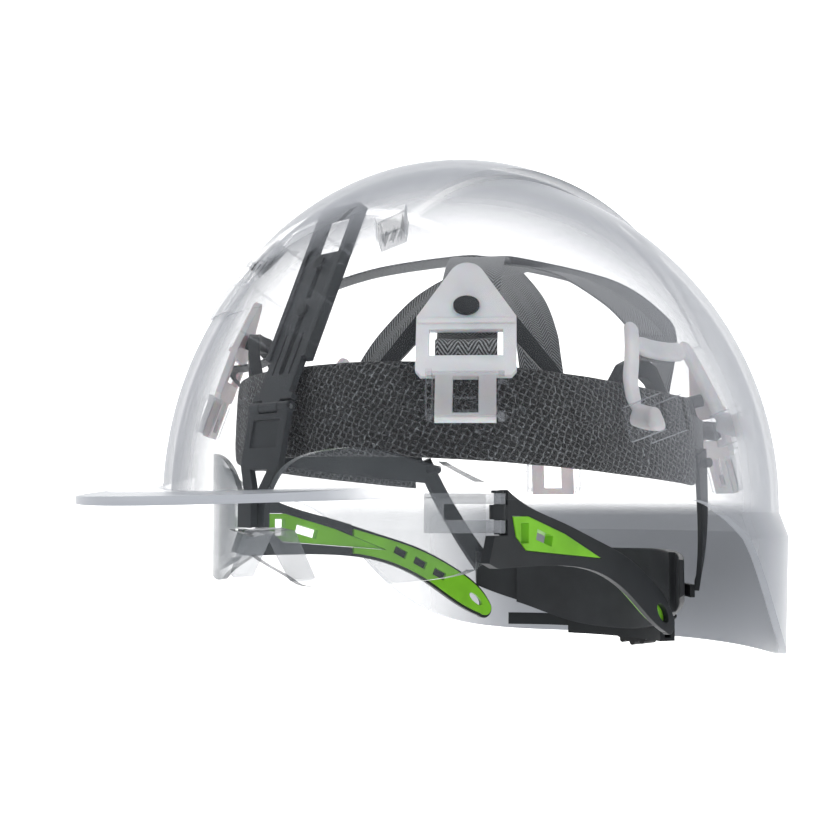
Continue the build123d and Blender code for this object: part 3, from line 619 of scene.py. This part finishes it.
def cover_rings(steps):
    """Cross-sections from behind the right ear, round the brow, to behind the left ear."""
    rings, along, travelled, previous = [], [], 0.0, None
    for step in range(steps + 1):
        share = step / steps
        ring = []
        for inset, height in section:
            # the end angle depends on the height, which makes the slanted cut
            end_y = cover_end_y + 0.004 - height * cover_lean
            reach = (end_y - band_middle.y) / (band_rear - band_middle.y)
            end = math.asin(min(0.98, max(0.0, reach)) ** (squareness / 2))
            angle = math.pi - end + (math.pi + 2 * end) * share
            wave = 0.0004 * math.sin(angle * 23.0) * math.sin(angle * 7.0 + height * 60)
            ring.append(band_point(angle, inset - 0.0007 + wave, height))
        centre = sum(ring, Vector()) / len(ring)
        if previous is not None:
            travelled += (centre - previous).length
        previous = centre
        rings.append(ring)
        along.append(travelled)
    return rings, along


rings, along = cover_rings(220)
around = [0.0]
for k in range(len(section)):
    a, b = Vector(section[k]), Vector(section[(k + 1) % len(section)])
    around.append(around[-1] + (b - a).length)
cover = sweep("knitted_cover", rings, along, around)
cover.data.materials.append(knit_finish)
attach(cover, "helmet")
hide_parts("headband_cover")
print("cover length", round(along[-1], 3), "m")

# %% [markdown]
# ## Crown straps
# Three lengths of flat webbing cross over the head. Each is swept along its own line: level at the
# crossing, down inside the band's arches, and into the hanger or fork that holds it. A thin section
# with rounded selvedges keeps it looking woven instead of cut from sheet.

# %% Hanger planes and strap lines
crossing_y = 0.014
side_crossing_y = 0.021
webbing_width, webbing_depth, cup_depth = 0.0200, 0.0012, 0.0005


def leaning_frame(point, azimuth, lean):
    """The face of a hanger: its tip, the direction across it, the one up it, and its outward normal."""
    a, e = math.radians(azimuth), math.radians(lean)
    out = Vector((math.sin(a) * math.cos(e), -math.cos(a) * math.cos(e), math.sin(e)))
    across = Vector((math.cos(a), math.sin(a), 0))
    return Vector(point), across, out.cross(across), out


front_face = leaning_frame((0.0563, -0.0538, 0.0763), 43, 19.7)
rear_face = leaning_frame((0.0389, 0.0960, 0.0574), 145, 14)
fork_face = leaning_frame((0.0765, 0.0210, 0.0530), 93, 16)


def on_face(face, across, up, out):
    """A point on a hanger's face, from millimetres across, up and out."""
    tip, x_way, y_way, z_way = face
    return tip + (x_way * across + y_way * up + z_way * out) / 1000


def smooth_line(points, per_span):
    """Points along a smooth line that passes through the given ones (Catmull-Rom)."""
    ends = [points[0] * 2 - points[1], *points, points[-1] * 2 - points[-2]]
    line = []
    for i in range(1, len(ends) - 2):
        p0, p1, p2, p3 = ends[i - 1:i + 3]
        for step in range(per_span):
            t = step / per_span
            line.append(
                0.5 * (2 * p1 + (p2 - p0) * t + (2 * p0 - 5 * p1 + 4 * p2 - p3) * t * t
                       + (3 * p1 - 3 * p2 + p3 - p0) * t ** 3)
            )
    line.append(points[-1])
    return line


def mirror_points(points):
    """The same points on the wearer's other side."""
    return [Vector((-p.x, p.y, p.z)) for p in points]


def strap_half(face, anchor, path, hook, start_y, top):
    """Half a strap's line: level at the crossing, then the path's (reach, drop), then the hook."""
    end = on_face(face, 0, anchor, 0)
    way = Vector((end.x, end.y - start_y, 0)).normalized()
    start = Vector((0, start_y, top))
    points = [start + way * 0.013]
    points += [start + way * reach / 1000 + Vector((0, 0, drop / 1000)) for reach, drop in path]
    points += [on_face(face, 0, up, out) for up, out in hook]
    return points


def hanger_hook(sink):
    """Down inside the arch and round the roll that fills the window."""
    inside = [(-13, -sink), (-20.5, 1.2 - sink), (-25.6, -2.8)]
    return inside + [(-27.2, 0.5), (-29.2, 1.5), (-31.2, 0.6), (-32.6, -1.8)]


front_path = ((47, -6), (72, -17))
rear_path = ((50, -6.5), (71, -18), (78, -29))
side_path = ((38, -7), (60, -20))
fork_hook = [(9, -2.6), (6, -2.0), (3, -1.8), (0, -1.8), (-3.4, -1.8)]


def ribbon(name, line, width, depth, across_at):
    """Webbing along a line: a flat section with rounded edges, UVs in metres."""
    steps = 20
    section = []
    for step in range(steps):
        angle = 2 * math.pi * step / steps
        c, s = math.cos(angle), math.sin(angle)
        section.append((
            width / 2 * math.copysign(abs(c) ** 0.35, c),
            depth / 2 * math.copysign(abs(s) ** 0.8, s),
        ))
    around = [0.0]
    for k in range(steps):
        a, b = Vector(section[k]), Vector(section[(k + 1) % steps])
        around.append(around[-1] + (b - a).length)
    rings, along, travelled = [], [], 0.0
    for i, point in enumerate(line):
        before, after = line[max(0, i - 1)], line[min(len(line) - 1, i + 1)]
        forward = (after - before).normalized()
        side = across_at(i / (len(line) - 1))
        side = (side - forward * side.dot(forward)).normalized()
        face_normal = side.cross(forward)
        ring = []
        for u, v in section:
            cup = cup_depth * (1 - (2 * u / width) ** 2)
            ring.append(point + side * u + face_normal * (v + cup))
        if rings:
            travelled += (point - line[i - 1]).length
        rings.append(ring)
        along.append(travelled)
    return sweep(name, rings, along, around)


def whole_strap(name, node, first, second, top, start_y):
    """Joins two halves over the crossing into one strap that replaces its CAD solid."""
    points = list(reversed(first)) + [Vector((0, start_y, top))] + second
    line = smooth_line(points, 9)
    sides = []
    for half, sign in ((first, -1), (second, 1)):
        way = Vector((half[-1].x, half[-1].y - start_y, 0)).normalized() * sign
        sides.append(Vector((0, 0, 1)).cross(way))

    def across_at(share):
        blend = min(1.0, max(0.0, (share - 0.42) / 0.16))
        return sides[0].lerp(sides[1], blend)

    strap = ribbon(name, line, webbing_width, webbing_depth, across_at)
    strap.data.materials.append(webbing_finish)
    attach(strap, "helmet")
    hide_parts(node)
    print(name, "points", len(line))
    return strap


left_top, right_top, side_top = 0.0927, 0.0943, 0.0911
front_hook, rear_hook = hanger_hook(10.6), hanger_hook(18.8)
whole_strap(
    "crown_strap_left", "strap_front_left",
    strap_half(front_face, -29, front_path, front_hook, crossing_y, left_top),
    mirror_points(strap_half(rear_face, -29, rear_path, rear_hook, crossing_y, left_top)),
    left_top, crossing_y,
)
whole_strap(
    "crown_strap_right", "strap_front_right",
    mirror_points(strap_half(front_face, -29, front_path, front_hook, crossing_y, right_top)),
    strap_half(rear_face, -29, rear_path, rear_hook, crossing_y, right_top),
    right_top, crossing_y,
)
side_half = strap_half(fork_face, -0.4, side_path, fork_hook, side_crossing_y, side_top)
whole_strap(
    "crown_strap_side", "strap_side",
    mirror_points(side_half), side_half,
    side_top, side_crossing_y,
)

# %% [markdown]
# ## Side forks
# The frosted forks hold the side strap. They are moulded in one with round, bone-like limbs, so each is
# built from a few swept limbs that overlap. A voxel remesh melts them into one skin, and a smoothing
# pass rounds the places where they meet, the way a mould maker blends ribs.

# %% Fork limbs
# each limb: places across, up and out from the fork's face in millimetres, then half its width and depth
fork_limbs = [
    ([(-15.5, 0.4, 1.5), (-5, -0.6, 1.4), (6, -0.6, 1.4), (15.5, 0.4, 1.5)], 0.0036, 0.0018),
    (
        [(-15.2, 8.2, 1.7), (-16.4, 3.4, 1.8), (-20.2, -6, 1.8), (-24.6, -14.5, 2.0), (-26.6, -25, 2.6)],
        0.0030, 0.0019,
    ),
    (
        [(15.0, 3.6, 1.5), (18.4, -1.2, 1.7), (22.2, -9, 1.8), (25.2, -17.5, 2.0), (26.8, -26, 2.6)],
        0.0030, 0.0019,
    ),
]
foot_across = 27

def limb(bm, line, half_wide, half_deep, across_way):
    """Adds a rounded limb along a line of points to a bmesh."""
    sides = 14
    rows = []
    for i, point in enumerate(line):
        before, after = line[max(0, i - 1)], line[min(len(line) - 1, i + 1)]
        forward = (after - before).normalized()
        deep_way = across_way
        wide_way = forward.cross(deep_way).normalized()
        end_share = min(i, len(line) - 1 - i) / 2
        shrink = 1.0 if end_share >= 1 else (0.55 + 0.45 * end_share)
        row = []
        for k in range(sides):
            angle = 2 * math.pi * k / sides
            c, s = math.cos(angle), math.sin(angle)
            u = half_wide * shrink * math.copysign(abs(c) ** 0.7, c)
            v = half_deep * shrink * math.copysign(abs(s) ** 0.7, s)
            row.append(bm.verts.new(point + wide_way * u + deep_way * v))
        rows.append(row)
    for a, b in zip(rows, rows[1:]):
        for k in range(sides):
            n = (k + 1) % sides
            bm.faces.new((a[k], a[n], b[n], b[k]))
    bm.faces.new(rows[0][::-1])
    bm.faces.new(rows[-1])


def build_fork(name, node, flip):
    """One fork: crossbar, horn, two bowed legs and two rounded feet."""
    bm = bmesh.new()
    out = fork_face[3]

    def spots(places):
        return smooth_line([on_face(fork_face, *place) for place in places], 5)

    for places, half_wide, half_deep in fork_limbs:
        limb(bm, spots(places), half_wide, half_deep, out)
    for side in (-1, 1):
        across = side * foot_across
        shin = [(across, up, deep) for up, deep in ((-25.6, 2), (-27.6, 4.5), (-29.6, 8), (-30.2, 10.6))]
        limb(bm, spots(shin), 0.0040, 0.0036, fork_face[1])
        toe = [(across - 4, -30, 9.0), (across, -31, 9.4), (across + 4, -30, 9.0)]
        limb(bm, spots(toe), 0.0034, 0.0016, out)
    if flip:
        for vert in bm.verts:
            vert.co.x = -vert.co.x
    bmesh.ops.recalc_face_normals(bm, faces=bm.faces)
    mesh = bpy.data.meshes.new(name)
    bm.to_mesh(mesh)
    bm.free()
    piece = bpy.data.objects.new(name, mesh)
    bpy.context.scene.collection.objects.link(piece)
    melt = piece.modifiers.new("melt", "REMESH")
    melt.mode = "VOXEL"
    melt.voxel_size = 0.0005
    melt.use_smooth_shade = True
    ease = piece.modifiers.new("ease", "SMOOTH")
    ease.factor = 0.5
    ease.iterations = 6
    mesh.materials.append(hanger_finish)
    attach(piece, "helmet")
    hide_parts(node)
    return piece


build_fork("fork_near", "side_fork_left", False)
build_fork("fork_far", "side_fork_right", True)
